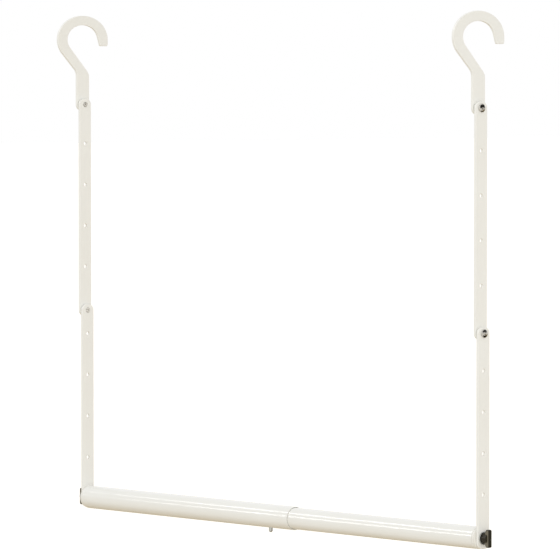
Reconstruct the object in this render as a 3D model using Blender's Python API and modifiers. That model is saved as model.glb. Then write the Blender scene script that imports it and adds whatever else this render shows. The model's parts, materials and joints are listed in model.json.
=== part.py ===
# Foldable closet rod: two flat plate hooks, two pairs of hinged flat arms with adjustment holes,
# and a telescoping round rod held between the arms by a thumb knob at each end.
# Metres, +Z up, X along the rod. The origin lies midway between the two hook crests, where the
# hooks rest on a closet rail.

import bpy
import bmesh
from math import acos, atan2, cos, hypot, pi, sin
from mathutils import Matrix

# Fits
SEAT = 0.0003             # gap between pieces that touch
WASHER_T = 0.0005         # thickness of the friction washers
WELD = 0.00001            # points closer than this are one

# Facets
TUBE_FACETS = 40          # round the tubes and their plugs
SMALL_FACETS = 16         # round holes, screws, studs and washers
NECK_FACETS = 24          # round the neck of a knob
OUTER_STEPS = 28          # along the outer edge of a hook's ring
INNER_STEPS = 24          # along the inner edge of a hook's ring
CORNER_STEPS = 5          # along a rounded corner
DOME_STEPS = 4            # from the top of a dome to its rim
BEND_STEPS = 8            # round the bend of the leaf spring

# Overall places
HOOK_SPAN = 0.658         # left hook to right hook, plate middle to plate middle
HOOK_REACH = 0.0887       # hook crest down to the top pivot
UPPER_ARM = 0.230         # top pivot to middle pivot
LOWER_ARM = 0.2094        # middle pivot to the rod's axis

# Flat plates
PLATE_T = 0.003
PLATE_EDGE = 0.0005       # rounding of the plate's edges
ARM_W = 0.0158
ARM_END = 0.0065          # material past a pivot's centre
ARM_FOOT = 0.011          # material of the lower arm below the rod's axis
ARM_CORNER = 0.0065       # corner radius of the arm ends
ADJUST_HOLE_D = 0.0042
ADJUST_HOLES = 4
UPPER_FIRST = 0.0488      # middle pivot up to the first hole of the upper arm
UPPER_PITCH = 0.0459
LOWER_FIRST = 0.0444      # rod axis up to the first hole of the lower arm
LEFT_LOWER_PITCH = 0.0463
RIGHT_LOWER_PITCH = 0.0423

# Hook
HOOK_INNER_W = 0.0432     # mouth of the hook, across
HOOK_INNER_H = 0.0324     # mouth of the hook, up and down
HOOK_BAND_TOP = 0.0105    # plate width over the crest
HOOK_BAND_SIDE = 0.0136   # plate width at the sides
HOOK_TIP_DROP = 0.0072    # tip end below the middle of the ring
HOOK_TIP_FLARE = 0.0028   # inner edge of the tip, outwards from the mouth's side
HOOK_TIP_ROUND = 0.002
HOOK_NECK = 0.036         # middle of the ring down to the back bend of the shank
HOOK_BEND_DROP = 0.002    # front bend below the back bend
HOOK_BEND_ROUND = 0.010
SHANK_W = 0.0172

# Pivot screws
SCREW_D = 0.005
SCREW_HEAD_D = 0.0087
SCREW_HEAD_H = 0.0015
SCREW_HEAD_RIM = 0.0005   # straight side of the head, below its dome
SCREW_PROUD = 0.0004      # screw end past the plate that it is threaded in
WASHER_D = 0.012

# Telescoping rod
OUTER_TUBE_D = 0.025
OUTER_TUBE_WALL = 0.0007
INNER_TUBE_D = 0.023
INNER_TUBE_WALL = 0.0008
TUBE_EDGE = 0.0002        # broken edge of the tube walls
OUTER_TUBE_L = 0.3565
TUBE_OVERLAP = 0.081      # inner tube inside the outer one at full length
BUTTON_SETBACK = 0.041    # snap button back from the outer tube's open end
BUTTON_PITCH = 0.040      # one length setting to the next
BUTTON_SETTINGS = 7

# End plugs
PLUG_FLANGE_T = 0.002
PLUG_FLANGE_STEP = 0.0003  # flange smaller in radius than its tube
PLUG_L = 0.018            # plug inside the tube
INSERT_D = 0.009
INSERT_L = 0.014
STUD_D = 0.006
STUD_IN_KNOB = 0.0046     # stud inside the knob

# Thumb knobs: a round neck and boss with a flat blade across them
KNOB_NECK_D = 0.0105
KNOB_NECK_L = 0.0025
KNOB_BOSS_D = 0.0088      # boss at its outer end
KNOB_BOSS_L = 0.0034      # boss past the neck
KNOB_BLADE_W = 0.0185     # blade from tip to tip
KNOB_BLADE_L = 0.006      # blade past the neck, along the rod
KNOB_BLADE_T = 0.0044
KNOB_ROOT = 0.001         # blade sunk in the neck
KNOB_SHOULDER = 0.0016    # rise over which the blade widens from the neck
KNOB_ROUND = 0.0018       # corner radius of the blade
KNOB_EDGE = 0.0005        # rounding of the blade's edges
KNOB_WASHER_D = 0.0135
KNOB_WASHER_T = 0.001

# Snap button and its leaf spring
BUTTON_D = 0.004
BUTTON_PROUD = 0.005      # button tip below the outer tube
BUTTON_BASE_D = 0.0064
BUTTON_BASE_T = 0.0008
LEAF_T = 0.0005
LEAF_W = 0.007
LEAF_FRONT = 0.006        # leaf past the button
LEAF_BACK = 0.026         # button back to the leaf's bend
LEAF_BEND_R = 0.003

# Places worked out from the sizes above
LAYER = PLATE_T + WASHER_T + 2 * SEAT
TOP_PIVOT_Z = -HOOK_REACH
MID_PIVOT_Z = TOP_PIVOT_Z - UPPER_ARM
ROD_Z = MID_PIVOT_Z - LOWER_ARM
HOOK_X = {"left": -HOOK_SPAN / 2, "right": HOOK_SPAN / 2}
PIVOT_HOLE_D = SCREW_D + 2 * SEAT
STUD_HOLE_D = STUD_D + 2 * SEAT
BUTTON_HOLE_D = BUTTON_D + 2 * SEAT
FLANGE_STEP_OUT = SEAT + WASHER_T + SEAT
TUBE_STEP_OUT = FLANGE_STEP_OUT + PLUG_FLANGE_T + SEAT
OUTER_START_X = HOOK_X["left"] + 2 * LAYER + PLATE_T / 2 + TUBE_STEP_OUT
OUTER_END_X = OUTER_START_X + OUTER_TUBE_L
INNER_END_X = HOOK_X["right"] + 2 * LAYER - PLATE_T / 2 - TUBE_STEP_OUT
INNER_START_X = OUTER_END_X - TUBE_OVERLAP
BUTTON_X = OUTER_END_X - BUTTON_SETBACK
INNER_BORE_R = INNER_TUBE_D / 2 - INNER_TUBE_WALL
FACING_X = (pi / 2, 0.0, pi / 2)   # a flat outline's X, Y and Z become Y, Z and X
ALONG_X = (0.0, pi / 2, 0.0)       # a turned piece's Z becomes +X
AGAINST_X = (0.0, -pi / 2, 0.0)    # a turned piece's Z becomes -X
POINTING_DOWN = (pi, 0.0, 0.0)     # a turned piece's Z becomes -Z
UNTURNED = (0.0, 0.0, 0.0)

# Finishes: colour, roughness, metallic
IVORY_COAT = ((0.82, 0.79, 0.72), 0.38, 0.0)
CHROME = ((0.62, 0.62, 0.62), 0.15, 1.0)
ZINC = ((0.55, 0.55, 0.54), 0.35, 1.0)
BRASS = ((0.62, 0.47, 0.2), 0.3, 1.0)
SPRING_STEEL = ((0.4, 0.4, 0.42), 0.3, 1.0)
BLACK_PLASTIC = ((0.03, 0.03, 0.025), 0.4, 0.0)
NYLON = ((0.78, 0.76, 0.7), 0.5, 0.0)


def clear_scene():
    for obj in list(bpy.data.objects):
        bpy.data.objects.remove(obj, do_unlink=True)


def new_collection(name):
    collection = bpy.data.collections.new(name)
    bpy.context.scene.collection.children.link(collection)
    return collection


def add_finish(obj, finish):
    colour, roughness, metallic = finish
    material = bpy.data.materials.new(obj.name + "_finish")
    material.use_nodes = True
    shader = material.node_tree.nodes["Principled BSDF"]
    shader.inputs["Base Color"].default_value = (*colour, 1.0)
    shader.inputs["Roughness"].default_value = roughness
    shader.inputs["Metallic"].default_value = metallic
    obj.data.materials.append(material)


def place(obj, location, rotation, finish):
    PARTS.objects.link(obj)
    obj.location = location
    obj.rotation_euler = rotation
    obj.parent = ROOT
    add_finish(obj, finish)
    return obj


def place_guide(name, mesh, location, rotation):
    """A body that only cuts or extends another one."""
    guide = bpy.data.objects.new(name, mesh)
    CUTTERS.objects.link(guide)
    guide.location = location
    guide.rotation_euler = rotation
    guide.hide_render = True
    guide.display_type = "WIRE"
    return guide


def combine(obj, guide, operation):
    change = obj.modifiers.new(guide.name, "BOOLEAN")
    change.operation = operation
    change.solver = "EXACT"
    change.object = guide


def arc(centre, radii, start, end, steps):
    """Points of an elliptical arc, angles in radians."""
    angles = [start + (end - start) * i / steps for i in range(steps + 1)]
    return [(centre[0] + radii[0] * cos(a), centre[1] + radii[1] * sin(a)) for a in angles]


def rounded_corner(before, corner, after, radius):
    """Points of the fillet that replaces one corner of an outline."""
    to_before = atan2(before[1] - corner[1], before[0] - corner[0])
    to_after = atan2(after[1] - corner[1], after[0] - corner[0])
    sweep = (to_after - to_before + pi) % (2 * pi) - pi
    half = abs(sweep) / 2
    middle = to_before + sweep / 2
    distance = radius / sin(half)
    centre = (corner[0] + distance * cos(middle), corner[1] + distance * sin(middle))
    turn = pi / 2 - half
    if sweep > 0:
        turn = -turn
    facing = middle + pi
    return arc(centre, (radius, radius), facing + turn, facing - turn, CORNER_STEPS)


def round_outline(corners):
    """An outline whose corners, each (across, up, radius), are rounded where the radius isn't 0."""
    points = []
    for i, (across, up, radius) in enumerate(corners):
        if radius == 0:
            points.append((across, up))
            continue
        before = corners[i - 1][:2]
        after = corners[(i + 1) % len(corners)][:2]
        fillet = rounded_corner(before, (across, up), after, radius)
        first = hypot(fillet[0][0] - before[0], fillet[0][1] - before[1])
        last = hypot(fillet[-1][0] - before[0], fillet[-1][1] - before[1])
        points += fillet if first <= last else fillet[::-1]
    return points


def tangent_angle(radii, point, side):
    """Angle where the tangent from a point meets an ellipse round the origin, on side 1 or -1 of it."""
    across = point[0] / radii[0]
    up = point[1] / radii[1]
    return atan2(up, across) + side * acos(1 / hypot(across, up))


def add_loop(curve, points):
    spline = curve.splines.new("POLY")
    spline.points.add(len(points) - 1)
    for target, (across, up) in zip(spline.points, points):
        target.co = (across, up, 0.0, 1.0)
    spline.use_cyclic_u = True


def flat_curve(name, loops, thickness, edge):
    """A flat filled outline with holes, its edges broken on both sides."""
    curve = bpy.data.curves.new(name, "CURVE")
    curve.dimensions = "2D"
    curve.fill_mode = "BOTH"
    curve.extrude = thickness / 2 - edge
    curve.bevel_depth = edge
    curve.bevel_resolution = 0
    curve.offset = -edge
    for points in loops:
        add_loop(curve, points)
    return curve


def curve_to_mesh(curve):
    """A closed mesh of a flat curve, with its caps welded to its rim."""
    drawn = bpy.data.objects.new(curve.name, curve)
    CUTTERS.objects.link(drawn)
    mesh = bpy.data.meshes.new_from_object(drawn.evaluated_get(bpy.context.evaluated_depsgraph_get()))
    bpy.data.objects.remove(drawn, do_unlink=True)
    work = bmesh.new()
    work.from_mesh(mesh)
    bmesh.ops.remove_doubles(work, verts=work.verts, dist=WELD)
    work.to_mesh(mesh)
    work.free()
    return mesh


def make_plate(name, outline, holes, location):
    """A flat steel plate across the rod, with round holes given as (up, diameter)."""
    loops = [outline]
    for up, diameter in holes:
        ring = arc((0.0, up), (diameter / 2, diameter / 2), 2 * pi, 0.0, SMALL_FACETS)
        loops.append(ring[:-1])
    curve = flat_curve(name, loops, PLATE_T, PLATE_EDGE)
    return place(bpy.data.objects.new(name, curve), location, FACING_X, IVORY_COAT)


def turn_piece(name, profile, facets, location, rotation, finish, closed):
    """A piece turned about its own Z from (radius, height) points, outer side first, top to bottom."""
    mesh = bpy.data.meshes.new(name)
    edges = [(i, i + 1) for i in range(len(profile) - 1)]
    if closed:
        edges.append((len(profile) - 1, 0))
    mesh.from_pydata([(radius, 0.0, height) for radius, height in profile], edges, [])
    obj = place(bpy.data.objects.new(name, mesh), location, rotation, finish)
    screw = obj.modifiers.new("Turn", "SCREW")
    screw.steps = facets
    screw.render_steps = facets
    screw.use_merge_vertices = True
    screw.merge_threshold = WELD
    return obj


def turn_ring(name, outer_d, inner_d, thickness, location, rotation, finish):
    """A plain ring that rises from its location along its own Z."""
    outer = outer_d / 2
    inner = inner_d / 2
    profile = [(outer, thickness), (outer, 0.0), (inner, 0.0), (inner, thickness)]
    return turn_piece(name, profile, SMALL_FACETS, location, rotation, finish, True)


def make_hook(side):
    """A question-mark plate: a ring open below a flared tip, a slanted neck and a straight shank."""
    inner = (HOOK_INNER_W / 2, HOOK_INNER_H / 2)
    outer = (inner[0] + HOOK_BAND_SIDE, inner[1] + HOOK_BAND_TOP)
    ring_up = HOOK_REACH - inner[1]
    half = SHANK_W / 2
    foot = -ring_up - ARM_END
    back_bend = (-half, -HOOK_NECK)
    front_bend = (half, -HOOK_NECK - HOOK_BEND_DROP)
    tip_outer = (outer[0], -HOOK_TIP_DROP)
    tip_inner = (inner[0] + HOOK_TIP_FLARE, -HOOK_TIP_DROP)
    neck_outer = tangent_angle(outer, back_bend, -1) + 2 * pi
    neck_inner = tangent_angle(inner, front_bend, -1) + 2 * pi
    flare_start = tangent_angle(inner, tip_inner, 1)
    outer_side = arc((0.0, 0.0), outer, 0.0, neck_outer, OUTER_STEPS)
    inner_side = arc((0.0, 0.0), inner, neck_inner, flare_start, INNER_STEPS)
    corners = [(*tip_outer, HOOK_TIP_ROUND)]
    corners += [(*point, 0) for point in outer_side]
    corners += [(*back_bend, HOOK_BEND_ROUND), (-half, foot, ARM_CORNER)]
    corners += [(half, foot, ARM_CORNER), (*front_bend, HOOK_BEND_ROUND)]
    corners += [(*point, 0) for point in inner_side]
    corners += [(*tip_inner, HOOK_TIP_ROUND)]
    outline = [(across, up + ring_up) for across, up in round_outline(corners)]
    return make_plate(side + "_hook", outline, [(0.0, PIVOT_HOLE_D)], (HOOK_X[side], 0.0, TOP_PIVOT_Z))


def arm_outline(foot, head):
    half = ARM_W / 2
    corners = [(half, -foot, ARM_CORNER), (half, head, ARM_CORNER)]
    corners += [(-half, head, ARM_CORNER), (-half, -foot, ARM_CORNER)]
    return round_outline(corners)


def make_upper_arm(side):
    holes = [(0.0, PIVOT_HOLE_D), (UPPER_ARM, PIVOT_HOLE_D)]
    holes += [(UPPER_FIRST + i * UPPER_PITCH, ADJUST_HOLE_D) for i in range(ADJUST_HOLES)]
    outline = arm_outline(ARM_END, UPPER_ARM + ARM_END)
    return make_plate(side + "_upper_arm", outline, holes, (HOOK_X[side] + LAYER, 0.0, MID_PIVOT_Z))


def make_lower_arm(side, pitch):
    holes = [(0.0, STUD_HOLE_D), (LOWER_ARM, PIVOT_HOLE_D)]
    holes += [(LOWER_FIRST + i * pitch, ADJUST_HOLE_D) for i in range(ADJUST_HOLES)]
    outline = arm_outline(ARM_FOOT, LOWER_ARM + ARM_END)
    return make_plate(side + "_lower_arm", outline, holes, (HOOK_X[side] + 2 * LAYER, 0.0, ROD_Z))


def make_pivot(side, name, layer, up):
    """The screw of one pivot, its head on the outer side, and the washer between the two plates."""
    near = HOOK_X[side] + layer * LAYER - PLATE_T / 2
    far = near + LAYER + PLATE_T
    if side == "left":
        head_x = near - SEAT
        rotation = AGAINST_X
    else:
        head_x = far + SEAT
        rotation = ALONG_X
    grip = far - near + SEAT + SCREW_PROUD
    radius = SCREW_D / 2
    head = SCREW_HEAD_D / 2
    profile = arc((0.0, SCREW_HEAD_RIM), (head, SCREW_HEAD_H - SCREW_HEAD_RIM), pi / 2, 0.0, DOME_STEPS)
    profile += [(head, 0.0), (radius, 0.0), (radius, -grip), (0.0, -grip)]
    turn_piece(f"{side}_{name}_screw", profile, SMALL_FACETS, (head_x, 0.0, up), rotation, CHROME, False)
    washer_at = (near + PLATE_T + SEAT, 0.0, up)
    turn_ring(f"{side}_{name}_washer", WASHER_D, PIVOT_HOLE_D, WASHER_T, washer_at, ALONG_X, NYLON)


def make_tube(name, diameter, wall, start, length):
    outer = diameter / 2
    inner = outer - wall
    edge = TUBE_EDGE
    profile = [(outer - edge, length), (outer, length - edge), (outer, edge), (outer - edge, 0.0)]
    profile += [(inner + edge, 0.0), (inner, edge), (inner, length - edge), (inner + edge, length)]
    return turn_piece(name, profile, TUBE_FACETS, (start, 0.0, ROD_Z), ALONG_X, IVORY_COAT, True)


def drill(obj, name, diameter, length, location, rotation):
    """A round hole whose drill stands along its own Z, with its middle at the location."""
    mesh = bpy.data.meshes.new(name)
    body = bmesh.new()
    bmesh.ops.create_cone(body, cap_ends=True, segments=SMALL_FACETS, radius1=diameter / 2,
                          radius2=diameter / 2, depth=length)
    body.to_mesh(mesh)
    body.free()
    combine(obj, place_guide(name, mesh, location, rotation), "DIFFERENCE")


def drill_below(tube, number, drill_x):
    """A button hole through the tube's lower wall only."""
    drill_at = (drill_x, 0.0, ROD_Z - OUTER_TUBE_D / 2)
    drill(tube, f"{tube.name}_drill_{number}", BUTTON_HOLE_D, OUTER_TUBE_D, drill_at, UNTURNED)


def make_tubes():
    outer = make_tube("outer_tube", OUTER_TUBE_D, OUTER_TUBE_WALL, OUTER_START_X, OUTER_TUBE_L)
    for i in range(BUTTON_SETTINGS):
        drill_below(outer, i, BUTTON_X - i * BUTTON_PITCH)
    inner_length = INNER_END_X - INNER_START_X
    inner = make_tube("inner_tube", INNER_TUBE_D, INNER_TUBE_WALL, INNER_START_X, inner_length)
    drill_below(inner, 0, BUTTON_X)


def make_knob(side, location, rotation):
    """A turned neck and boss, joined to a flat blade for finger and thumb, and bored for the stud."""
    neck = KNOB_NECK_D / 2
    boss_end = KNOB_NECK_L + KNOB_BOSS_L
    profile = [(0.0, boss_end), (KNOB_BOSS_D / 2, boss_end), (neck, KNOB_NECK_L), (neck, 0.0), (0.0, 0.0)]
    knob = turn_piece(side + "_knob", profile, NECK_FACETS, location, rotation, BLACK_PLASTIC, False)

    half = KNOB_BLADE_W / 2
    shoulder = (half, KNOB_NECK_L + KNOB_SHOULDER, KNOB_ROUND)
    corner = (half, KNOB_NECK_L + KNOB_BLADE_L, KNOB_ROUND)
    right_side = [(neck - KNOB_ROOT, KNOB_NECK_L - KNOB_ROOT, 0), shoulder, corner]
    left_side = [(-across, up, radius) for across, up, radius in reversed(right_side)]
    outline = round_outline(right_side + left_side)
    blade_mesh = curve_to_mesh(flat_curve(side + "_knob_blade", [outline], KNOB_BLADE_T, KNOB_EDGE))
    blade_mesh.transform(Matrix.Rotation(pi / 2, 4, "X"))
    combine(knob, place_guide(side + "_knob_blade", blade_mesh, location, rotation), "UNION")
    drill(knob, side + "_knob_bore", STUD_HOLE_D, 2 * (STUD_IN_KNOB + SEAT), location, rotation)


def make_rod_end(side, tube_d, tube_wall):
    """Plug, threaded insert, friction washer, knob washer, stud and knob at one end of the rod."""
    outward = AGAINST_X if side == "left" else ALONG_X
    inward = ALONG_X if side == "left" else AGAINST_X
    step = -1 if side == "left" else 1
    arm_x = HOOK_X[side] + 2 * LAYER
    inner_face = arm_x - step * PLATE_T / 2
    outer_face = arm_x + step * PLATE_T / 2
    turn_ring(side + "_friction_washer", tube_d - 4 * PLUG_FLANGE_STEP, STUD_HOLE_D, WASHER_T,
              (inner_face - step * SEAT, 0.0, ROD_Z), inward, NYLON)

    flange = tube_d / 2 - PLUG_FLANGE_STEP
    body = tube_d / 2 - tube_wall - SEAT
    mouth = STUD_HOLE_D / 2
    pocket = INSERT_D / 2 + SEAT
    back = PLUG_FLANGE_T + PLUG_L
    profile = [(body, back), (body, PLUG_FLANGE_T), (flange, PLUG_FLANGE_T), (flange, 0.0), (mouth, 0.0)]
    profile += [(mouth, PLUG_FLANGE_T), (pocket, PLUG_FLANGE_T), (pocket, back)]
    plug_x = inner_face - step * FLANGE_STEP_OUT
    turn_piece(side + "_end_plug", profile, TUBE_FACETS, (plug_x, 0.0, ROD_Z), inward, NYLON, True)
    insert_x = plug_x - step * (PLUG_FLANGE_T + SEAT)
    turn_ring(side + "_threaded_insert", INSERT_D, STUD_HOLE_D, INSERT_L,
              (insert_x, 0.0, ROD_Z), inward, BRASS)

    washer_x = outer_face + step * SEAT
    turn_ring(side + "_knob_washer", KNOB_WASHER_D, STUD_HOLE_D, KNOB_WASHER_T,
              (washer_x, 0.0, ROD_Z), outward, ZINC)
    knob_x = washer_x + step * (KNOB_WASHER_T + SEAT)
    make_knob(side, (knob_x, 0.0, ROD_Z), outward)

    stud_end = knob_x + step * STUD_IN_KNOB
    stud_l = abs(stud_end - insert_x) + INSERT_L
    radius = STUD_D / 2
    profile = [(0.0, stud_l), (radius, stud_l), (radius, 0.0), (0.0, 0.0)]
    turn_piece(side + "_knob_stud", profile, SMALL_FACETS, (stud_end, 0.0, ROD_Z), inward, ZINC, False)


def make_snap_button():
    """A domed pin through both tubes' lower walls, with a wider base inside the inner tube."""
    radius = BUTTON_D / 2
    base = BUTTON_BASE_D / 2
    shoulder = (INNER_BORE_R ** 2 - base ** 2) ** 0.5 - SEAT
    length = OUTER_TUBE_D / 2 + BUTTON_PROUD - shoulder
    profile = arc((0.0, length - radius), (radius, radius), pi / 2, 0.0, DOME_STEPS)
    profile += [(radius, 0.0), (base, 0.0), (base, -BUTTON_BASE_T), (0.0, -BUTTON_BASE_T)]
    button_at = (BUTTON_X, 0.0, ROD_Z - shoulder)
    turn_piece("snap_button", profile, SMALL_FACETS, button_at, POINTING_DOWN, CHROME, False)
    return shoulder - BUTTON_BASE_T


def make_leaf_spring(base_drop):
    """A bent leaf: one leg on the button's base, the other up against the tube's upper wall."""
    half_w = LEAF_W / 2
    lower = -(base_drop - SEAT - LEAF_T / 2)
    upper = (INNER_BORE_R ** 2 - half_w ** 2) ** 0.5 - SEAT - LEAF_T
    bend_at = (-LEAF_BACK, lower + LEAF_BEND_R)
    path = [(LEAF_FRONT, lower)]
    path += arc(bend_at, (LEAF_BEND_R, LEAF_BEND_R), -pi / 2, -3 * pi / 2, BEND_STEPS)
    path += [(LEAF_FRONT, upper)]
    mesh = bpy.data.meshes.new("button_spring")
    leaf = bmesh.new()
    near = [leaf.verts.new((along, -half_w, up)) for along, up in path]
    edges = [leaf.edges.new((near[i], near[i + 1])) for i in range(len(near) - 1)]
    made = bmesh.ops.extrude_edge_only(leaf, edges=edges)
    moved = [item for item in made["geom"] if isinstance(item, bmesh.types.BMVert)]
    bmesh.ops.translate(leaf, verts=moved, vec=(0.0, LEAF_W, 0.0))
    bmesh.ops.recalc_face_normals(leaf, faces=leaf.faces)
    leaf.to_mesh(mesh)
    leaf.free()
    spring = bpy.data.objects.new("button_spring", mesh)
    place(spring, (BUTTON_X, 0.0, ROD_Z), UNTURNED, SPRING_STEEL)
    wall = spring.modifiers.new("Leaf thickness", "SOLIDIFY")
    wall.thickness = LEAF_T
    wall.offset = 0.0
    wall.use_even_offset = True


clear_scene()
PARTS = new_collection("foldable_closet_rod")
CUTTERS = new_collection("foldable_closet_rod_cutters")
ROOT = bpy.data.objects.new("foldable_closet_rod_frame", None)
PARTS.objects.link(ROOT)

for rod_side, lower_pitch in (("left", LEFT_LOWER_PITCH), ("right", RIGHT_LOWER_PITCH)):
    make_hook(rod_side)
    make_upper_arm(rod_side)
    make_lower_arm(rod_side, lower_pitch)
    make_pivot(rod_side, "top", 0, TOP_PIVOT_Z)
    make_pivot(rod_side, "middle", 1, MID_PIVOT_Z)

make_tubes()
make_rod_end("left", OUTER_TUBE_D, OUTER_TUBE_WALL)
make_rod_end("right", INNER_TUBE_D, INNER_TUBE_WALL)
make_leaf_spring(make_snap_button())
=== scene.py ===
import json
import math

import bmesh
import bpy
from mathutils import Matrix, Vector


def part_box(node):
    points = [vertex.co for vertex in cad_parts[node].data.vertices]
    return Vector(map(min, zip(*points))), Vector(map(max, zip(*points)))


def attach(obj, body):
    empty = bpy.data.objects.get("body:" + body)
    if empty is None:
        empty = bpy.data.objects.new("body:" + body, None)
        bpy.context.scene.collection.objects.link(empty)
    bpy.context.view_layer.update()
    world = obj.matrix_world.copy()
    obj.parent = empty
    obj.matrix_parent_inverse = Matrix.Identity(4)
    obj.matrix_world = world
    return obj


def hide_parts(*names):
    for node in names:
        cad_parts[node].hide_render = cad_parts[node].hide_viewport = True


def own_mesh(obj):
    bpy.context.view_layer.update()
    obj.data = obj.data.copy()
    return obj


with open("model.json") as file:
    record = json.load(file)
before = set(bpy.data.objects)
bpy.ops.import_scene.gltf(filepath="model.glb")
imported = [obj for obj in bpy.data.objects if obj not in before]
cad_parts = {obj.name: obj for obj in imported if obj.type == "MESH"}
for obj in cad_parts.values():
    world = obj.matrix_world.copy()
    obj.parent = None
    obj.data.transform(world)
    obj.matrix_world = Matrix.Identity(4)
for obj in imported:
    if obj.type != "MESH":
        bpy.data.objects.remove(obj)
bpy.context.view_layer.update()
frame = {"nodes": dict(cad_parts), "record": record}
scene = bpy.context.scene
scene.view_settings.view_transform = "Standard"
behaviour = frame["record"]["behaviour"]
bodyOfNode = {node: body for body, nodes in behaviour["bodies"].items() for node in nodes}
print("frame loaded,", len(bodyOfNode), "nodes")

millimetre = 0.001
white = (1, 1, 1, 1)
outwardOf = {"left": -1, "right": 1}   # the way along X that leads off that end of the rod
facingX = Matrix(((0, 0, 1, 0), (1, 0, 0, 0), (0, 1, 0, 0), (0, 0, 0, 1)))   # flat outline's own Z to +X
alongX = Matrix(((0, 0, 1, 0), (0, 1, 0, 0), (-1, 0, 0, 0), (0, 0, 0, 1)))   # turned piece's own Z to +X
againstX = Matrix(((0, 0, -1, 0), (0, 1, 0, 0), (1, 0, 0, 0), (0, 0, 0, 1)))   # turned piece's own Z to -X
mixFirst, mixSecond, mixResult = 6, 7, 2   # colour sockets of a Mix node


def hexColour(code):
    channels = [int(code[i:i + 2], 16) / 255 for i in (1, 3, 5)]
    linear = [c / 12.92 if c <= 0.04045 else ((c + 0.055) / 1.055) ** 2.4 for c in channels]
    return (*linear, 1.0)


def addNode(tree, kind, settings=None, inputs=None):
    node = tree.nodes.new(kind)
    for name, value in (settings or {}).items():
        setattr(node, name, value)
    for key, value in (inputs or {}).items():
        for item in value if isinstance(value, list) else [value]:
            if isinstance(item, bpy.types.NodeSocket):
                tree.links.new(item, node.inputs[key])
            else:
                node.inputs[key].default_value = item
    return node


def maths(tree, operation, first, second):
    return addNode(tree, "ShaderNodeMath", {"operation": operation}, {0: first, 1: second}).outputs[0]


def noiseField(tree, place, grainMm, detail):
    return addNode(tree, "ShaderNodeTexNoise", inputs={
        "Vector": place, "Scale": 1 / (grainMm * millimetre), "Detail": detail}).outputs["Fac"]


def spread(tree, share, low, high):
    return addNode(tree, "ShaderNodeMapRange", inputs={
        "Value": share, "To Min": low, "To Max": high}).outputs["Result"]


def mixColours(tree, share, first, second):
    return addNode(tree, "ShaderNodeMix", {"data_type": "RGBA"}, {
        "Factor": share, mixFirst: first, mixSecond: second}).outputs[mixResult]


def newMaterial(name):
    material = bpy.data.materials.new(name)
    material.use_nodes = True
    tree = material.node_tree
    shader = tree.nodes["Principled BSDF"]
    place = addNode(tree, "ShaderNodeTexCoord").outputs["Object"]
    return material, tree, shader, place


def dressShader(tree, shader, colour, rough, height, bumpStrength, bumpDepthMm):
    bump = addNode(tree, "ShaderNodeBump", inputs={
        "Height": height, "Strength": bumpStrength, "Distance": bumpDepthMm * millimetre})
    tree.links.new(colour, shader.inputs["Base Color"])
    tree.links.new(rough, shader.inputs["Roughness"])
    tree.links.new(bump.outputs["Normal"], shader.inputs["Normal"])


resinIor = 1.5   # cured powder coats and moulded plastics

# Polyester powder coat, sprayed on steel and baked: satin ivory with a fine orange peel,
# and a little uneven in shade where the coat lies thicker.
coatLook = {"pale": "#F3F3EF", "deep": "#EFEEE8", "patchMm": 60, "patchDetail": 2.0,
            "gritMm": 0.5, "gritDetail": 0.0, "peelMm": 1.6, "peelDetail": 1.0, "peelStrength": 0.25}


def powderCoat(name, roughLow, roughHigh, peelDepthMm):
    material, tree, shader, place = newMaterial(name)
    patch = noiseField(tree, place, coatLook["patchMm"], coatLook["patchDetail"])
    shade = mixColours(tree, patch, hexColour(coatLook["deep"]), hexColour(coatLook["pale"]))
    peel = noiseField(tree, place, coatLook["peelMm"], coatLook["peelDetail"])
    grit = noiseField(tree, place, coatLook["gritMm"], coatLook["gritDetail"])
    rough = spread(tree, grit, roughLow, roughHigh)
    dressShader(tree, shader, shade, rough, peel, coatLook["peelStrength"], peelDepthMm)
    shader.inputs["IOR"].default_value = resinIor
    return material


# Plated and bare metals, turned, tumbled or rolled: a mirror that has gone a little soft and cloudy,
# with faint tool marks in the surface.
metalLook = {"cloudMm": 2.5, "cloudDetail": 3.0, "markMm": 0.35, "markDetail": 1.0, "markStrength": 0.08,
             "markDepthMm": 0.02}


def platedMetal(name, bright, dull, roughLow, roughHigh):
    material, tree, shader, place = newMaterial(name)
    cloud = noiseField(tree, place, metalLook["cloudMm"], metalLook["cloudDetail"])
    shade = mixColours(tree, cloud, hexColour(dull), hexColour(bright))
    rough = spread(tree, cloud, roughHigh, roughLow)
    marks = noiseField(tree, place, metalLook["markMm"], metalLook["markDetail"])
    dressShader(tree, shader, shade, rough, marks, metalLook["markStrength"], metalLook["markDepthMm"])
    shader.inputs["Metallic"].default_value = 1.0
    return material


# Moulded plastic: even colour, with the grain of a spark-eroded mould, which is about 0.1 mm
# on the real piece, too fine to show, and so is drawn coarser.
plasticLook = {"grainDetail": 2.0, "grainStrength": 0.2, "grainDepthMm": 0.05}


def mouldedPlastic(name, dark, light, grainMm, roughLow, roughHigh, shine=0.5):
    material, tree, shader, place = newMaterial(name)
    grain = noiseField(tree, place, grainMm, plasticLook["grainDetail"])
    shade = mixColours(tree, grain, hexColour(dark), hexColour(light))
    rough = spread(tree, grain, roughLow, roughHigh)
    dressShader(tree, shader, shade, rough, grain, plasticLook["grainStrength"], plasticLook["grainDepthMm"])
    shader.inputs["IOR"].default_value = resinIor
    shader.inputs["Specular IOR Level"].default_value = shine
    return material


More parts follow.
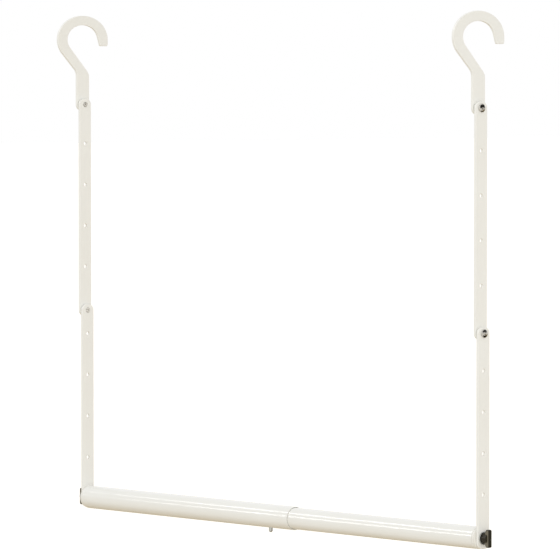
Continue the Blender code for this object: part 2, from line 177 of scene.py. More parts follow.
plateCoat = powderCoat("satinIvoryPowderCoat", 0.34, 0.46, 0.05)
tubeCoat = powderCoat("glossIvoryPowderCoat", 0.12, 0.18, 0.02)
chromePlate = platedMetal("chromePlatedSteel", "#C8C5BF", "#A3A09A", 0.1, 0.2)
nickelPlate = platedMetal("dullNickelPlatedSteel", "#F1EFEA", "#E4E1DA", 0.22, 0.34)
pinSteel = platedMetal("tumbledSteelPin", "#B9B9B5", "#A3A39F", 0.16, 0.26)
zincPlate = platedMetal("zincPlatedSteel", "#C2C3C0", "#A3A5A3", 0.28, 0.42)
springSteel = platedMetal("blueTemperedSpringSteel", "#6F7178", "#55565C", 0.25, 0.38)
turnedBrass = platedMetal("turnedBrass", "#CDAA63", "#B08D48", 0.2, 0.34)
knobPlastic = mouldedPlastic("mouldedBlackNylon", "#1D1A10", "#2E2A1B", 0.8, 0.24, 0.34, 0.2)
# Paler grey for the knob blade's broad sides: painted light, standing in for their lit sides, not a colour of
# the plastic.
paintedLitKnobPlastic = mouldedPlastic("blackNylonPaintedLitSides", "#5E594A", "#7E7868", 0.9, 0.45, 0.6, 0.3)
plugNylon = mouldedPlastic("mouldedIvoryNylon", "#EEECE5", "#F3F2ED", 1.0, 0.42, 0.55)
print("materials made")


def addObject(name, data):
    piece = bpy.data.objects.new(name, data)
    scene.collection.objects.link(piece)
    return piece


def plainMesh(piece):
    shown = piece.evaluated_get(bpy.context.evaluated_depsgraph_get())
    mesh = bpy.data.meshes.new_from_object(shown)
    bpy.data.objects.remove(piece)
    return mesh


def finishPiece(name, mesh, node, material, sharpAngle=40, flatFaces=False):
    mesh.materials.clear()
    mesh.materials.append(material)
    mesh.shade_smooth()
    mesh.set_sharp_from_angle(angle=math.radians(sharpAngle))
    if flatFaces:   # the broad faces keep their own normal beside rounded rims
        draft = addObject(name + "Draft", mesh)
        draft.modifiers.new("faceWeights", "WEIGHTED_NORMAL").keep_sharp = True
        mesh = plainMesh(draft)
    mesh.name = name
    piece = addObject(name, mesh)
    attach(piece, bodyOfNode[node])
    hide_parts(node)
    return piece


def meshOf(name, work):
    mesh = bpy.data.meshes.new(name)
    work.to_mesh(mesh)
    work.free()
    return mesh


def cleanMesh(mesh, weld=0.000002):
    work = bmesh.new()
    work.from_mesh(mesh)
    bmesh.ops.remove_doubles(work, verts=work.verts, dist=weld)
    bmesh.ops.dissolve_degenerate(work, edges=work.edges, dist=weld)
    bmesh.ops.recalc_face_normals(work, faces=work.faces)
    work.to_mesh(mesh)
    work.free()
    return mesh


def turnedMesh(name, profile, segments, closed=False):
    work = bmesh.new()   # profile points are (radius, height); radius 0 is a pole
    angles = [2 * math.pi * i / segments for i in range(segments)]
    rings = []
    for radius, height in profile:
        points = [(radius * math.cos(a), radius * math.sin(a), height) for a in angles]
        if radius == 0:
            points = [(0, 0, height)]
        rings.append([work.verts.new(point) for point in points])
    pairs = list(zip(rings, rings[1:]))
    if closed:
        pairs.append((rings[-1], rings[0]))
    for first, second in pairs:
        for i in range(segments):
            corners = [first[i % len(first)], first[(i + 1) % len(first)],
                       second[(i + 1) % len(second)], second[i % len(second)]]
            work.faces.new(list(dict.fromkeys(corners)))
    bmesh.ops.recalc_face_normals(work, faces=work.faces)
    return meshOf(name, work)


def arcPoints(centre, radii, start, end, steps):
    angles = [math.radians(start + (end - start) * i / steps) for i in range(steps + 1)]
    return [(centre[0] + radii[0] * math.cos(a), centre[1] + radii[1] * math.sin(a)) for a in angles]


def domePoints(top, radius, rise, steps):
    points = arcPoints((0, top - rise), (radius, rise), 90, 0, steps)
    points[0] = (0, top)   # the pole, exactly on the axis
    return points


# Camera at the photo's angle: nearly level, a long lens, well round to the right of the rod.
cameraPlace = {"azimuth": 50.0, "downTilt": 2.39, "distance": 5.4216, "aside": 0.00963, "height": -0.2748,
               "focalPixels": 5062.7, "framePixels": 560, "sensorMm": 36, "clipEnd": 100}
azimuth = math.radians(cameraPlace["azimuth"])
tilt = math.radians(cameraPlace["downTilt"])
sideways = Vector((math.cos(azimuth), math.sin(azimuth), 0))
ahead = Vector((-math.sin(azimuth) * math.cos(tilt), math.cos(azimuth) * math.cos(tilt), -math.sin(tilt)))
aim = sideways * cameraPlace["aside"] + Vector((0, 0, cameraPlace["height"]))
cameraData = bpy.data.cameras.new("photoCamera")
cameraData.sensor_width = cameraPlace["sensorMm"]
cameraData.lens = cameraData.sensor_width * cameraPlace["focalPixels"] / cameraPlace["framePixels"]
cameraData.clip_end = cameraPlace["clipEnd"]
camera = addObject("photoCamera", cameraData)
camera.location = aim - ahead * cameraPlace["distance"]
camera.rotation_euler = (math.pi / 2 - tilt, 0, azimuth)
scene.camera = camera

# Studio: a pale floor well below the hanging rod and a white surround, a weak overhead softbox, a broad
# front fill, and two long strip lamps beside the rod that draw the fine lines along the tube. Soft sandy
# ovals on the floor, for bounced and reflected light alone, warm the underside of the tube, and two black
# flags darken the bright metal.
studio = {"floorDrop": 0.7, "floorSpan": 120, "floorColour": "#E9E4DA", "floorRough": 0.9,
          "nearGlow": 0.28, "farGlow": 0.4, "surround": 0.88}
softboxes = {"overheadSoftbox": {"power": 5, "size": (3.0, 3.0), "place": (-0.4, -0.6, 2.6)},
             "frontSoftbox": {"power": 60, "size": (4.0, 4.0), "place": (5.4, -2.9, 1.0)}}
strips = {"power": 24, "size": (3.1, 0.38), "along": -1.69, "away": 2.5,
          "riseDegrees": {"highStripLamp": 57.5, "lowStripLamp": 20.5}}
floorSpots = {"nearSpot": {"place": (0, 0), "reach": (6.0, 6.0), "fade": 1.0},
              "bounceSpot": {"place": (-0.6, 1.1), "reach": (2.6, 1.7), "fade": 0.25, "colour": "#CBB690"},
              "mirrorSpot": {"place": (-4.2, 5.9), "reach": (9.0, 7.0), "fade": 0.06, "colour": "#AA956C"}}
flagLook = {"colour": "#060606", "rough": 1.0, "height": -0.2}
flags = {"backFlag": {"size": (2.8, 1.3), "towards": (0.74, 0.61, 0.28), "distance": 2.5},
         "lowFlag": {"size": (1.3, 0.95), "towards": (0.60, 0.57, -0.56), "distance": 1.6}}


def addLamp(name, power, size, location, target):
    lampData = bpy.data.lights.new(name, "AREA")
    lampData.shape = "RECTANGLE"
    lampData.size, lampData.size_y = size
    lampData.energy = power
    lamp = addObject(name, lampData)
    lamp.location = location
    lamp.rotation_euler = (Vector(target) - Vector(location)).to_track_quat("-Z", "Y").to_euler()
    return lamp


rodLow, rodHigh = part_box("outer_tube")
rodHeight = (rodLow.z + rodHigh.z) / 2
middle = (0, 0, rodHeight / 2)
for name, box in softboxes.items():
    addLamp(name, box["power"], box["size"], box["place"], middle)
stripAim = Vector((strips["along"], 0, rodHeight))
for name, degrees in strips["riseDegrees"].items():
    rise = math.radians(degrees)
    outwards = Vector((0, -math.cos(rise), math.sin(rise))) * strips["away"]
    strip = addLamp(name, strips["power"], strips["size"], stripAim + outwards, stripAim)
    strip.visible_diffuse = False   # only its reflection is wanted


def seenRays(tree, mirrorShare=1.0):   # camera and transmission rays, and a share of reflections
    path = addNode(tree, "ShaderNodeLightPath").outputs
    mirror = maths(tree, "MULTIPLY", path["Is Glossy Ray"], mirrorShare)
    seen = maths(tree, "MAXIMUM", path["Is Camera Ray"], mirror)
    return maths(tree, "MAXIMUM", seen, path["Is Transmission Ray"])


def stageCard(name, size, location, material, facing=None):
    work = bmesh.new()
    bmesh.ops.create_grid(work, x_segments=1, y_segments=1, size=0.5)
    for vert in work.verts:
        vert.co.x *= size[0]
        vert.co.y *= size[1]
    mesh = meshOf(name, work)
    mesh.materials.append(material)
    card = addObject(name, mesh)
    card.location = location
    if facing is not None:
        card.rotation_euler = facing.to_track_quat("Z", "Y").to_euler()
    return card


world = bpy.data.worlds.new("whiteSurround")
scene.world = world
world.use_nodes = True
sky = world.node_tree
sky.nodes.clear()
surround = addNode(sky, "ShaderNodeBackground", inputs={
    "Color": white, "Strength": spread(sky, seenRays(sky), studio["surround"], 1.0)})
addNode(sky, "ShaderNodeOutputWorld", inputs={"Surface": surround.outputs[0]})

floorPaint, floorTree, floorShader, floorCoords = newMaterial("matPaleFloor")
floorShader.inputs["Roughness"].default_value = studio["floorRough"]
spots = {}
for name, spot in floorSpots.items():
    across, along = spot["reach"]
    spotX, spotY = spot["place"]
    spotPlace = addNode(floorTree, "ShaderNodeMapping", inputs={
        "Vector": floorCoords, "Location": (-spotX / across, -spotY / along, 0),
        "Scale": (1 / across, 1 / along, 1)})
    ball = addNode(floorTree, "ShaderNodeTexGradient", {"gradient_type": "SPHERICAL"}, {
        "Vector": spotPlace.outputs[0]})
    spots[name] = addNode(floorTree, "ShaderNodeMapRange", inputs={
        "Value": ball.outputs["Fac"], "From Max": spot["fade"]}).outputs["Result"]
isMirror = addNode(floorTree, "ShaderNodeLightPath").outputs["Is Glossy Ray"]
sandShare = spread(floorTree, isMirror, spots["bounceSpot"], spots["mirrorSpot"])
unseenShare = spread(floorTree, seenRays(floorTree, 0.0), sandShare, 0.0)
sandShade = mixColours(floorTree, isMirror, hexColour(floorSpots["bounceSpot"]["colour"]),
                       hexColour(floorSpots["mirrorSpot"]["colour"]))
floorShade = mixColours(floorTree, unseenShare, hexColour(studio["floorColour"]), sandShade)
floorTree.links.new(floorShade, floorShader.inputs["Base Color"])
glow = spread(floorTree, spots["nearSpot"], studio["farGlow"], studio["nearGlow"])   # keeps the shadow
plainMirror = spread(floorTree, spots["mirrorSpot"], 1.0, 0.0)
floorGlow = addNode(floorTree, "ShaderNodeEmission", inputs={
    "Color": white, "Strength": spread(floorTree, seenRays(floorTree, plainMirror), 0.0, glow)})
floorSum = addNode(floorTree, "ShaderNodeAddShader", inputs={
    0: floorShader.outputs[0], 1: floorGlow.outputs[0]})
floorTree.links.new(floorSum.outputs[0], floorTree.nodes["Material Output"].inputs["Surface"])
floorPlace = (0, 0, rodLow.z - studio["floorDrop"])
stageCard("studioFloor", (studio["floorSpan"],) * 2, floorPlace, floorPaint)

flagCloth, _, flagShader, _ = newMaterial("blackFlagCloth")
flagShader.inputs["Base Color"].default_value = hexColour(flagLook["colour"])
flagShader.inputs["Roughness"].default_value = flagLook["rough"]
screwLow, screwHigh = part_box("right_top_screw")
flagged = Vector((screwHigh.x, 0, flagLook["height"]))   # between the two right-hand screw heads
for name, flag in flags.items():
    towards = Vector(flag["towards"])
    card = stageCard(name, flag["size"], flagged + towards * flag["distance"], flagCloth, -towards)
    card.visible_camera = False
    card.visible_diffuse = False
    card.visible_shadow = False
    card.visible_transmission = False
print("camera, lamps and floor set")


# Plates: what the hooks and the arms share.
plateShape = {"edge": 0.0006, "corner": 0.0065, "pastPivot": 0.0065, "pivotHole": 0.0056, "holeSteps": 48}

# Hooks: stamped plate, an oval ring that opens below a flared tip, a slanted neck and a straight shank.
hookShape = {"mouthWidth": 0.0432, "mouthHeight": 0.0324, "bandTop": 0.0105, "bandSide": 0.0136,
             "tipDrop": 0.0072, "tipFlare": 0.0028, "tipCorner": 0.002, "neck": 0.036, "bendDrop": 0.002,
             "bendRadius": 0.010, "shankWidth": 0.0172,
             "outerSteps": 110, "innerSteps": 90, "tipSteps": 8, "bendSteps": 10, "footSteps": 12}


def roundCorner(before, corner, after, radius, steps):
    toBefore = (Vector(before) - Vector(corner)).normalized()
    toAfter = (Vector(after) - Vector(corner)).normalized()
    half = toBefore.angle(toAfter) / 2
    centre = Vector(corner) + (toBefore + toAfter).normalized() * radius / math.sin(half)
    first = Vector(corner) + toBefore * radius / math.tan(half) - centre
    last = Vector(corner) + toAfter * radius / math.tan(half) - centre
    return [tuple(centre + first.lerp(last, i / steps).normalized() * radius) for i in range(steps + 1)]


def tangentAngle(radii, point, side):
    across, up = point[0] / radii[0], point[1] / radii[1]
    return math.degrees(math.atan2(up, across) + side * math.acos(1 / math.hypot(across, up)))


def hookOutline(shape, pivotUp):   # seen from the middle of the ring
    inner = (shape["mouthWidth"] / 2, shape["mouthHeight"] / 2)
    outer = (inner[0] + shape["bandSide"], inner[1] + shape["bandTop"])
    half = shape["shankWidth"] / 2
    foot = pivotUp - plateShape["pastPivot"]
    backFoot, frontFoot = (-half, foot), (half, foot)
    backBend = (-half, -shape["neck"])
    frontBend = (half, -shape["neck"] - shape["bendDrop"])
    tipOuter = (outer[0], -shape["tipDrop"])
    tipInner = (inner[0] + shape["tipFlare"], -shape["tipDrop"])
    outerEnd = tangentAngle(outer, backBend, -1) + 360
    innerStart = tangentAngle(inner, frontBend, -1) + 360
    innerEnd = tangentAngle(inner, tipInner, 1)
    outerSide = arcPoints((0, 0), outer, 0, outerEnd, shape["outerSteps"])
    innerSide = arcPoints((0, 0), inner, innerStart, innerEnd, shape["innerSteps"])
    outline = roundCorner(tipInner, tipOuter, outerSide[0], shape["tipCorner"], shape["tipSteps"])
    outline += outerSide
    outline += roundCorner(outerSide[-1], backBend, backFoot, shape["bendRadius"], shape["bendSteps"])
    outline += roundCorner(backBend, backFoot, frontFoot, plateShape["corner"], shape["footSteps"])
    outline += roundCorner(backFoot, frontFoot, frontBend, plateShape["corner"], shape["footSteps"])
    outline += roundCorner(frontFoot, frontBend, innerSide[0], shape["bendRadius"], shape["bendSteps"])
    outline += innerSide
    outline += roundCorner(innerSide[-1], tipInner, tipOuter, shape["tipCorner"], shape["tipSteps"])
    return outline


def flatCurve(name, outlines, thickness, edge, edgeSteps=3):
    curve = bpy.data.curves.new(name, "CURVE")
    curve.dimensions = "2D"
    curve.fill_mode = "BOTH"
    curve.extrude = thickness / 2 - edge
    curve.bevel_depth = edge
    curve.bevel_resolution = edgeSteps
    curve.offset = -edge
    for outline in outlines:
        spline = curve.splines.new("POLY")
        spline.points.add(len(outline) - 1)
        for target, (across, up) in zip(spline.points, outline):
            target.co = (across, up, 0, 1)
        spline.use_cyclic_u = True
    return cleanMesh(plainMesh(addObject(name, curve)))


for side in outwardOf:
    low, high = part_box(side + "_hook")
    crest = high.z - hookShape["bandTop"]
    ringHeight = crest - hookShape["mouthHeight"] / 2
    pivotUp = low.z + plateShape["pastPivot"] - ringHeight
    holeRadii = (plateShape["pivotHole"] / 2,) * 2
    hole = arcPoints((0, pivotUp), holeRadii, 360, 0, plateShape["holeSteps"])[:-1]
    outlines = [hookOutline(hookShape, pivotUp), hole]
    mesh = flatCurve(side + "HookOutline", outlines, high.x - low.x, plateShape["edge"])
    mesh.transform(Matrix.Translation(((low.x + high.x) / 2, 0, ringHeight)) @ facingX)
    finishPiece(side + "HookPlate", mesh, side + "_hook", plateCoat, flatFaces=True)
print("hooks made")


# Arms: flat straps with rounded rims and a row of punched holes, from one node tree.
strapShape = {"holeEdge": 0.00025, "footPastRod": 0.011, "hole": 0.0042, "studHole": 0.0066, "holes": 4,
              "cornerSteps": 10, "rimSteps": 4, "weld": 0.000005,
              "upper": {"first": 0.0488, "pitch": 0.0459},
              "leftLower": {"first": 0.0444, "pitch": 0.0463},
              "rightLower": {"first": 0.0444, "pitch": 0.0423}}


def newTree(name, sockets):
    tree = bpy.data.node_groups.new(name, "GeometryNodeTree")
    for socketName, kind in sockets:
        tree.interface.new_socket(name=socketName, in_out="INPUT", socket_type="NodeSocket" + kind)
    tree.interface.new_socket(name="Geometry", in_out="OUTPUT", socket_type="NodeSocketGeometry")
    return tree, addNode(tree, "NodeGroupInput").outputs


def endTree(tree, geometry, material):
    real = addNode(tree, "GeometryNodeRealizeInstances", inputs={"Geometry": geometry})
    coated = addNode(tree, "GeometryNodeSetMaterial", inputs={
        "Geometry": real.outputs[0], "Material": material})
    addNode(tree, "NodeGroupOutput", inputs={"Geometry": coated.outputs[0]})
    return tree


def vectorOf(tree, **parts):
    return addNode(tree, "ShaderNodeCombineXYZ", inputs=parts).outputs[0]


def repeated(tree, piece, count, start, step):
    row = addNode(tree, "GeometryNodeMeshLine", inputs={
        "Count": count, "Start Location": start, "Offset": step})
    copies = addNode(tree, "GeometryNodeInstanceOnPoints", inputs={
        "Points": row.outputs[0], "Instance": piece})
    return addNode(tree, "GeometryNodeRealizeInstances", inputs={"Geometry": copies.outputs[0]}).outputs[0]


def treeMesh(name, tree, values, startMesh=None):
    piece = addObject(name, startMesh or bpy.data.meshes.new(name))
    modifier = piece.modifiers.new(tree.name, "NODES")
    modifier.node_group = tree
    for item in tree.interface.items_tree:
        if item.in_out == "INPUT" and item.name in values:
            modifier[item.identifier] = values[item.name]
    return plainMesh(piece)


def makeStrapTree():
    floats = ["Width", "Foot", "Head", "Thickness", "Edge", "Hole Edge", "Corner", "Hole", "First Hole",
              "Pitch", "Low Hole", "High Hole", "High Hole Up"]
    sockets = [(name, "Float") for name in floats]
    sockets += [("Holes", "Int"), ("Round Steps", "Int"), ("Finish", "Material")]
    tree, given = newTree("punchedStrap", sockets)

    def joined(*parts):
        return addNode(tree, "GeometryNodeJoinGeometry", inputs={"Geometry": list(parts)}).outputs[0]

    def moved(geometry, **offset):
        return addNode(tree, "GeometryNodeTransform", inputs={
            "Geometry": geometry, "Translation": vectorOf(tree, **offset)}).outputs[0]

    def ring(diameter):
        radius = maths(tree, "ADD", maths(tree, "MULTIPLY", diameter, 0.5), given["Hole Edge"])
        return addNode(tree, "GeometryNodeCurvePrimitiveCircle", inputs={
            "Resolution": given["Round Steps"], "Radius": radius}).outputs[0]

    def rimWall(loop, edge):
        corners = ((0.0, halfThick), (edge, halfThick), (edge, minusHalf), (0.0, minusHalf))
        points = {f"Point {i}": vectorOf(tree, X=across, Y=up) for i, (across, up) in enumerate(corners, 1)}
        rim = addNode(tree, "GeometryNodeCurvePrimitiveQuadrilateral", {"mode": "POINTS"}, points)
        openRim = addNode(tree, "GeometryNodeSetSplineCyclic", inputs={
            "Geometry": rim.outputs[0], "Cyclic": False})
        roundRim = addNode(tree, "GeometryNodeFilletCurve", {"mode": "POLY"}, {
            "Curve": openRim.outputs[0], "Count": strapShape["rimSteps"], "Radius": edge,
            "Limit Radius": True})
        return addNode(tree, "GeometryNodeCurveToMesh", inputs={
            "Curve": loop, "Profile Curve": roundRim.outputs[0]}).outputs[0]

    twoEdges = maths(tree, "MULTIPLY", given["Edge"], 2.0)
    width = maths(tree, "SUBTRACT", given["Width"], twoEdges)
    height = maths(tree, "SUBTRACT", maths(tree, "ADD", given["Foot"], given["Head"]), twoEdges)
    lift = maths(tree, "MULTIPLY", maths(tree, "SUBTRACT", given["Head"], given["Foot"]), 0.5)
    cornerRadius = maths(tree, "SUBTRACT", given["Corner"], given["Edge"])
    halfThick = maths(tree, "MULTIPLY", given["Thickness"], 0.5)
    minusHalf = maths(tree, "MULTIPLY", halfThick, -1.0)

    outline = addNode(tree, "GeometryNodeCurvePrimitiveQuadrilateral", inputs={
        "Width": width, "Height": height})
    rounded = addNode(tree, "GeometryNodeFilletCurve", {"mode": "POLY"}, {
        "Curve": outline.outputs[0], "Count": strapShape["cornerSteps"], "Radius": cornerRadius})
    outer = moved(rounded.outputs[0], Y=lift)
    punched = repeated(tree, ring(given["Hole"]), given["Holes"], vectorOf(tree, Y=given["First Hole"]),
                       vectorOf(tree, Y=given["Pitch"]))
    holes = joined(punched, ring(given["Low Hole"]), moved(ring(given["High Hole"]), Y=given["High Hole Up"]))
    turned = addNode(tree, "GeometryNodeReverseCurve", inputs={"Curve": holes}).outputs[0]
    cap = addNode(tree, "GeometryNodeFillCurve", {"mode": "TRIANGLES"}, {
        "Curve": joined(outer, turned)}).outputs[0]
    whole = joined(moved(cap, Z=halfThick), moved(cap, Z=minusHalf), rimWall(outer, given["Edge"]),
                   rimWall(turned, given["Hole Edge"]))
    welded = addNode(tree, "GeometryNodeMergeByDistance", inputs={
        "Geometry": whole, "Distance": strapShape["weld"]})
    return endTree(tree, welded.outputs[0], given["Finish"])


strapTree = makeStrapTree()


def makeArm(side, part, holeRow, foot, lowHole):
    node = f"{side}_{part}_arm"
    low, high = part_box(node)
    reach = high.z - low.z - foot - plateShape["pastPivot"]
    mesh = treeMesh(node, strapTree, {
        "Width": high.y - low.y, "Foot": foot, "Head": reach + plateShape["pastPivot"],
        "Thickness": high.x - low.x, "Edge": plateShape["edge"], "Hole Edge": strapShape["holeEdge"],
        "Corner": plateShape["corner"], "Hole": strapShape["hole"], "First Hole": holeRow["first"],
        "Pitch": holeRow["pitch"], "Low Hole": lowHole, "High Hole": plateShape["pivotHole"],
        "High Hole Up": reach, "Holes": strapShape["holes"], "Round Steps": plateShape["holeSteps"],
        "Finish": plateCoat})
    cleanMesh(mesh)
    mesh.transform(Matrix.Translation(((low.x + high.x) / 2, 0, low.z + foot)) @ facingX)
    finishPiece(f"{side}{part.capitalize()}Arm", mesh, node, plateCoat, flatFaces=True)


for side in outwardOf:
    makeArm(side, "upper", strapShape["upper"], plateShape["pastPivot"], plateShape["pivotHole"])
    makeArm(side, "lower", strapShape[side + "Lower"], strapShape["footPastRod"], strapShape["studHole"])
print("arms made")


# Telescoping tube: rolled steel with softened ends and a row of button holes along the underside.
tubeShape = {"outerWall": 0.0007, "innerWall": 0.0008, "edge": 0.00035, "edgeOfWall": 0.45, "edgeSteps": 4,
             "buttonHole": 0.0046, "settingPitch": 0.040, "settings": 7, "facets": 128, "drillFacets": 40,
             "sharpAngle": 30}


def makeDrillTree():
    sockets = [("Tube", "Geometry"), ("First Hole", "Vector"), ("Pitch", "Float"), ("Holes", "Int"),
               ("Diameter", "Float"), ("Depth", "Float"), ("Finish", "Material")]
    tree, given = newTree("drilledTube", sockets)
    drill = addNode(tree, "GeometryNodeMeshCylinder", inputs={
        "Vertices": tubeShape["drillFacets"], "Radius": maths(tree, "MULTIPLY", given["Diameter"], 0.5),
        "Depth": given["Depth"]})
    drills = repeated(tree, drill.outputs["Mesh"], given["Holes"], given["First Hole"],
                      vectorOf(tree, X=given["Pitch"]))
    cut = addNode(tree, "GeometryNodeMeshBoolean", {"operation": "DIFFERENCE"}, {
        "Mesh 1": given["Tube"], "Mesh 2": drills})
    return endTree(tree, cut.outputs["Mesh"], given["Finish"])


def tubeProfile(outer, inner, length, edge):
    corners = ((outer - edge, length - edge, 90), (outer - edge, edge, 0),
               (inner + edge, edge, 270), (inner + edge, length - edge, 180))
    profile = []
    for radius, height, start in corners:
        profile += arcPoints((radius, height), (edge, edge), start, start - 90, tubeShape["edgeSteps"])
    return profile


drillTree = makeDrillTree()
buttonLow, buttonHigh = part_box("snap_button")
buttonX = (buttonLow.x + buttonHigh.x) / 2
for name, node, wall, holes in (("outerTube", "outer_tube", tubeShape["outerWall"], tubeShape["settings"]),
                                ("innerTube", "inner_tube", tubeShape["innerWall"], 1)):
    low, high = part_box(node)
    radius = (high.z - low.z) / 2
    edge = min(tubeShape["edge"], wall * tubeShape["edgeOfWall"])
    profile = tubeProfile(radius, radius - wall, high.x - low.x, edge)
    mesh = turnedMesh(node, profile, tubeShape["facets"], closed=True)
    mesh.transform(Matrix.Translation((low.x, 0, rodHeight)) @ alongX)
    mesh = treeMesh(node, drillTree, {
        "First Hole": (buttonX, 0, low.z), "Pitch": -tubeShape["settingPitch"], "Holes": holes,
        "Diameter": tubeShape["buttonHole"], "Depth": radius, "Finish": tubeCoat}, mesh)
    cleanMesh(mesh)
    finishPiece(name, mesh, node, tubeCoat, tubeShape["sharpAngle"], flatFaces=True)
print("tubes made")


# Rod ends: plug with a rounded flange, washers, and the thumb knob, a flat blade on a round neck.
endShape = {"flange": 0.002, "flangeRound": 0.0009, "flangeSteps": 6, "plugBodyGap": 0.0010, "mouth": 0.0066,
            "pocket": 0.0096, "washerEdge": 0.00015, "facets": 72}
knobShape = {"neck": 0.0105, "neckLength": 0.0025, "neckEdge": 0.0004, "neckRim": 0.0002, "neckRise": 0.0001,
             "boss": 0.0088, "bossLength": 0.0034, "bossEdge": 0.0005, "bossSteps": 5, "bossFlank": 15,
             "bladeThick": 0.0044, "root": 0.001, "shoulder": 0.0016, "corner": 0.0018, "cornerSteps": 10,
             "bladeEdge": 0.0007, "bore": 0.0049, "facets": 72, "sharpAngle": 30, "faceTolerance": 0.00002}


def ringProfile(outer, inner, thickness, edge):
    return [(outer - edge, thickness), (outer, thickness - edge), (outer, edge), (outer - edge, 0),
            (inner + edge, 0), (inner, edge), (inner, thickness - edge), (inner + edge, thickness)]


def placeTurned(mesh, node, rising):
    low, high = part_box(node)
    turn, start = (alongX, low.x) if rising > 0 else (againstX, high.x)
    mesh.transform(Matrix.Translation((start, (low.y + high.y) / 2, (low.z + high.z) / 2)) @ turn)


def turnedNode(name, node, profile, rising, material):
    mesh = turnedMesh(name, profile, endShape["facets"], closed=True)
    placeTurned(mesh, node, rising)
    finishPiece(name, cleanMesh(mesh), node, material)


def makeWasher(name, node, hole, rising, material):
    low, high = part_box(node)
    profile = ringProfile((high.y - low.y) / 2, hole / 2, high.x - low.x, endShape["washerEdge"])
    turnedNode(name, node, profile, rising, material)


def joinMeshes(name, startMesh, changes):
    piece = addObject(name, startMesh)
    helpers = []
    for mesh, operation in changes:
        helper = addObject(name + "Helper", mesh)
        helpers.append(helper)
        change = piece.modifiers.new(operation, "BOOLEAN")
        change.operation = operation
        change.object = helper
    joined = plainMesh(piece)
    for helper in helpers:
        bpy.data.objects.remove(helper)
    return cleanMesh(joined)


def makeKnobMesh(side):
    low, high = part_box(side + "_knob")
    neck = knobShape["neck"] / 2
    neckTop = knobShape["neckLength"]
    neckRim, neckEdge = knobShape["neckRim"], knobShape["neckEdge"]
    bossTop = neckTop + knobShape["bossLength"]
    bossEdge = knobShape["bossEdge"]
    bossCorner = (knobShape["boss"] / 2 - bossEdge, bossTop - bossEdge)
    profile = [(0, bossTop)]
    profile += arcPoints(bossCorner, (bossEdge, bossEdge), 90, knobShape["bossFlank"], knobShape["bossSteps"])
    profile += [(neck - neckRim, neckTop + knobShape["neckRise"]), (neck, neckTop - neckRim)]
    profile += [(neck, neckEdge), (neck - neckEdge, 0), (0, 0)]
    hub = turnedMesh(side + "KnobHub", profile, knobShape["facets"])
    half = (high.z - low.z) / 2
    root = (neck - knobShape["root"], neckTop - knobShape["root"])
    rightSide = [root, (half, neckTop + knobShape["shoulder"]), (half, high.x - low.x)]
    corners = rightSide + [(-across, up) for across, up in reversed(rightSide)]
    outline = [corners[0]]
    for before, corner, after in zip(corners, corners[1:], corners[2:]):
        outline += roundCorner(before, corner, after, knobShape["corner"], knobShape["cornerSteps"])
    outline.append(corners[-1])
    blade = flatCurve(side + "KnobBlade", [outline], knobShape["bladeThick"], knobShape["bladeEdge"])
    blade.transform(Matrix.Rotation(math.pi / 2, 4, "X"))
    bore, depth = endShape["mouth"] / 2, knobShape["bore"]
    drillProfile = [(0, depth), (bore, depth), (bore, -depth), (0, -depth)]
    drill = turnedMesh(side + "KnobBore", drillProfile, knobShape["facets"])
    return joinMeshes(side + "Knob", hub, [(blade, "UNION"), (drill, "DIFFERENCE")])


def makeRodEnd(side, tube, outward):
    node = side + "_end_plug"
    low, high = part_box(node)
    tubeLow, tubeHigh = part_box(tube)
    flange = (high.y - low.y) / 2
    body = (tubeHigh.z - tubeLow.z) / 2 - endShape["plugBodyGap"]
    back = high.x - low.x
    mouth, pocket = endShape["mouth"] / 2, endShape["pocket"] / 2
    bend = endShape["flangeRound"]
    profile = [(body, back), (body, endShape["flange"]), (flange, endShape["flange"])]
    profile += arcPoints((flange - bend, bend), (bend, bend), 0, -90, endShape["flangeSteps"])
    profile += [(mouth, 0), (mouth, endShape["flange"]), (pocket, endShape["flange"]), (pocket, back)]
    turnedNode(side + "EndPlug", node, profile, -outward, plugNylon)
    makeWasher(side + "FrictionWasher", side + "_friction_washer", endShape["mouth"], outward,
               plugNylon)
    makeWasher(side + "KnobWasher", side + "_knob_washer", endShape["mouth"], outward,
               zincPlate)

    node = side + "_knob"
    mesh = makeKnobMesh(side)
    placeTurned(mesh, node, outward)
    piece = finishPiece(side + "ThumbKnob", mesh, node, knobPlastic, knobShape["sharpAngle"],
                        flatFaces=True)
    piece.data.materials.append(paintedLitKnobPlastic)
    for face in piece.data.polygons:   # the two broad sides of the blade are painted lighter grey: painted light for their lit sides
        if abs(abs(face.center.y) - knobShape["bladeThick"] / 2) < knobShape["faceTolerance"]:
            face.material_index = 1


makeRodEnd("left", "outer_tube", outwardOf["left"])
makeRodEnd("right", "inner_tube", outwardOf["right"])
print("rod ends made")


# Pivot screws: low domed heads with a cross recess, and a small countersunk centre at the far end.
screwShape = {"shank": 0.005, "headHeight": 0.0015, "headRim": 0.0005, "domeSteps": 12, "edge": 0.0002,
              "centre": 0.0014, "centreDepth": 0.0004, "centreSlope": 0.0001,
              "pip": 0.0009, "pipShoulder": 0.6, "pipDrop": 0.0002,
              "slotLength": 0.0046, "slotWidth": 0.0011, "slotDepth": 0.0009, "slotNarrow": 0.55,
              "slotRise": 0.0005, "facets": 56, "sharpAngle": 28, "faceTolerance": 0.00005}


def slotMesh(name, turn):
    work = bmesh.new()
    bmesh.ops.create_cube(work, size=1)
    top = screwShape["headHeight"]
    for vert in work.verts:   # the slot narrows towards its floor
        isTop = vert.co.z > 0
        narrow = 1.0 if isTop else screwShape["slotNarrow"]
        vert.co.x *= screwShape["slotLength"] * narrow
        vert.co.y *= screwShape["slotWidth"] * narrow
        vert.co.z = top + screwShape["slotRise"] if isTop else top - screwShape["slotDepth"]
    bmesh.ops.rotate(work, verts=work.verts, matrix=Matrix.Rotation(turn, 3, "Z"))
    return meshOf(name, work)


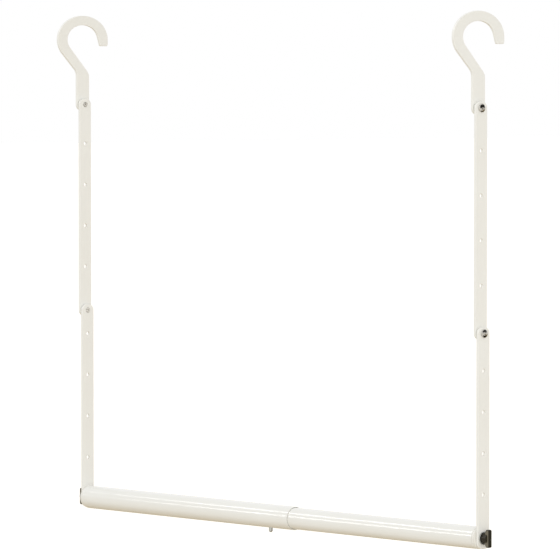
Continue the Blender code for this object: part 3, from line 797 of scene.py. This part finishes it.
def screwMesh(name, headRadius, length):
    height = screwShape["headHeight"]
    shank, edge = screwShape["shank"] / 2, screwShape["edge"]
    end = height - length
    deep = end + screwShape["centreDepth"]
    centre, slope = screwShape["centre"], screwShape["centreSlope"]
    pip, drop = screwShape["pip"], screwShape["pipDrop"]
    profile = domePoints(height, headRadius, height - screwShape["headRim"], screwShape["domeSteps"])
    profile += [(headRadius, edge), (headRadius - edge, 0), (shank, 0)]
    profile += [(shank, end + edge), (shank - edge, end)]
    profile += [(centre, end), (centre - slope, deep), (pip + slope, deep), (pip, end + drop)]
    profile += [(pip * screwShape["pipShoulder"], end + drop / 2), (0, end + drop / 4)]
    head = turnedMesh(name, profile, screwShape["facets"])
    slots = [slotMesh(name + "Slot", turn) for turn in (0, math.pi / 2)]
    return joinMeshes(name, head, [(slot, "DIFFERENCE") for slot in slots])


def makePivot(side, pivot, outward):
    node = f"{side}_{pivot}_screw"
    low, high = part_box(node)
    mesh = screwMesh(node, (high.y - low.y) / 2, high.x - low.x)
    headFace, turn = (high.x, alongX) if outward > 0 else (low.x, againstX)
    headSeat = headFace - outward * screwShape["headHeight"]
    mesh.transform(Matrix.Translation((headSeat, 0, (low.z + high.z) / 2)) @ turn)
    piece = finishPiece(f"{side}{pivot.capitalize()}Screw", mesh, node, chromePlate,
                        screwShape["sharpAngle"])
    piece.data.materials.append(nickelPlate)
    for face in piece.data.polygons:   # the plated head, then the paler shank
        isHead = (face.center.x - headSeat) * outward > -screwShape["faceTolerance"]
        face.material_index = 0 if isHead else 1
    makeWasher(f"{side}{pivot.capitalize()}Washer", f"{side}_{pivot}_washer", plateShape["pivotHole"],
               outward, plugNylon)


for side, outward in outwardOf.items():
    for pivot in ("top", "middle"):
        makePivot(side, pivot, outward)
print("pivots made")


# Snap button: a polished pin with a full dome, and a wider base inside the inner tube.
buttonShape = {"pin": 0.004, "base": 0.0008, "domeSteps": 12, "facets": 48, "sharpAngle": 35}
pin, base = buttonShape["pin"] / 2, buttonShape["base"]
baseRadius = (buttonHigh.x - buttonLow.x) / 2
profile = domePoints(buttonHigh.z - buttonLow.z, pin, pin, buttonShape["domeSteps"])
profile += [(pin, base), (baseRadius, base), (baseRadius, 0), (0, 0)]
mesh = turnedMesh("snapButton", profile, buttonShape["facets"])
mesh.transform(Matrix.Translation((buttonX, 0, buttonHigh.z)) @ Matrix.Rotation(math.pi, 4, "X"))
finishPiece("snapButton", cleanMesh(mesh), "snap_button", pinSteel, buttonShape["sharpAngle"])

# Leaf spring: a bent strip inside the inner tube, which closes up as the button is pressed in.
springShape = {"leaf": 0.0005, "front": 0.006, "back": 0.026, "bend": 0.003, "bendSteps": 16,
               "edge": 0.0001, "edgeSteps": 2, "edgeAngle": 60}
low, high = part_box("button_spring")
leaf, bend = springShape["leaf"], springShape["bend"]
frontEnd = buttonX + springShape["front"]
bendX = buttonX - springShape["back"]
bottom = low.z + leaf / 2
path = [(frontEnd, bottom)]
path += arcPoints((bendX, bottom + bend), (bend, bend), -90, -270, springShape["bendSteps"])
path += [(frontEnd, high.z - leaf / 2)]
work = bmesh.new()
near, far = [[work.verts.new((along, across, up)) for along, up in path] for across in (low.y, high.y)]
for i in range(len(path) - 1):
    work.faces.new((near[i], near[i + 1], far[i + 1], far[i]))
draft = addObject("leafSpringDraft", meshOf("leafSpring", work))
wall = draft.modifiers.new("leafThickness", "SOLIDIFY")
wall.thickness = leaf
wall.offset = 0
wall.use_even_offset = True
rim = draft.modifiers.new("softEdge", "BEVEL")
rim.width = springShape["edge"]
rim.segments = springShape["edgeSteps"]
rim.angle_limit = math.radians(springShape["edgeAngle"])
mesh = cleanMesh(plainMesh(draft))
piece = finishPiece("buttonLeafSpring", mesh, "button_spring", springSteel)
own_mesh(piece)

# Inner pieces whose solids are already right take their real finish.
for side in outwardOf:
    for part, material in (("threaded_insert", turnedBrass), ("knob_stud", zincPlate)):
        for materialSlot in frame["nodes"][f"{side}_{part}"].material_slots:
            materialSlot.material = material
print("button and inner pieces finished")
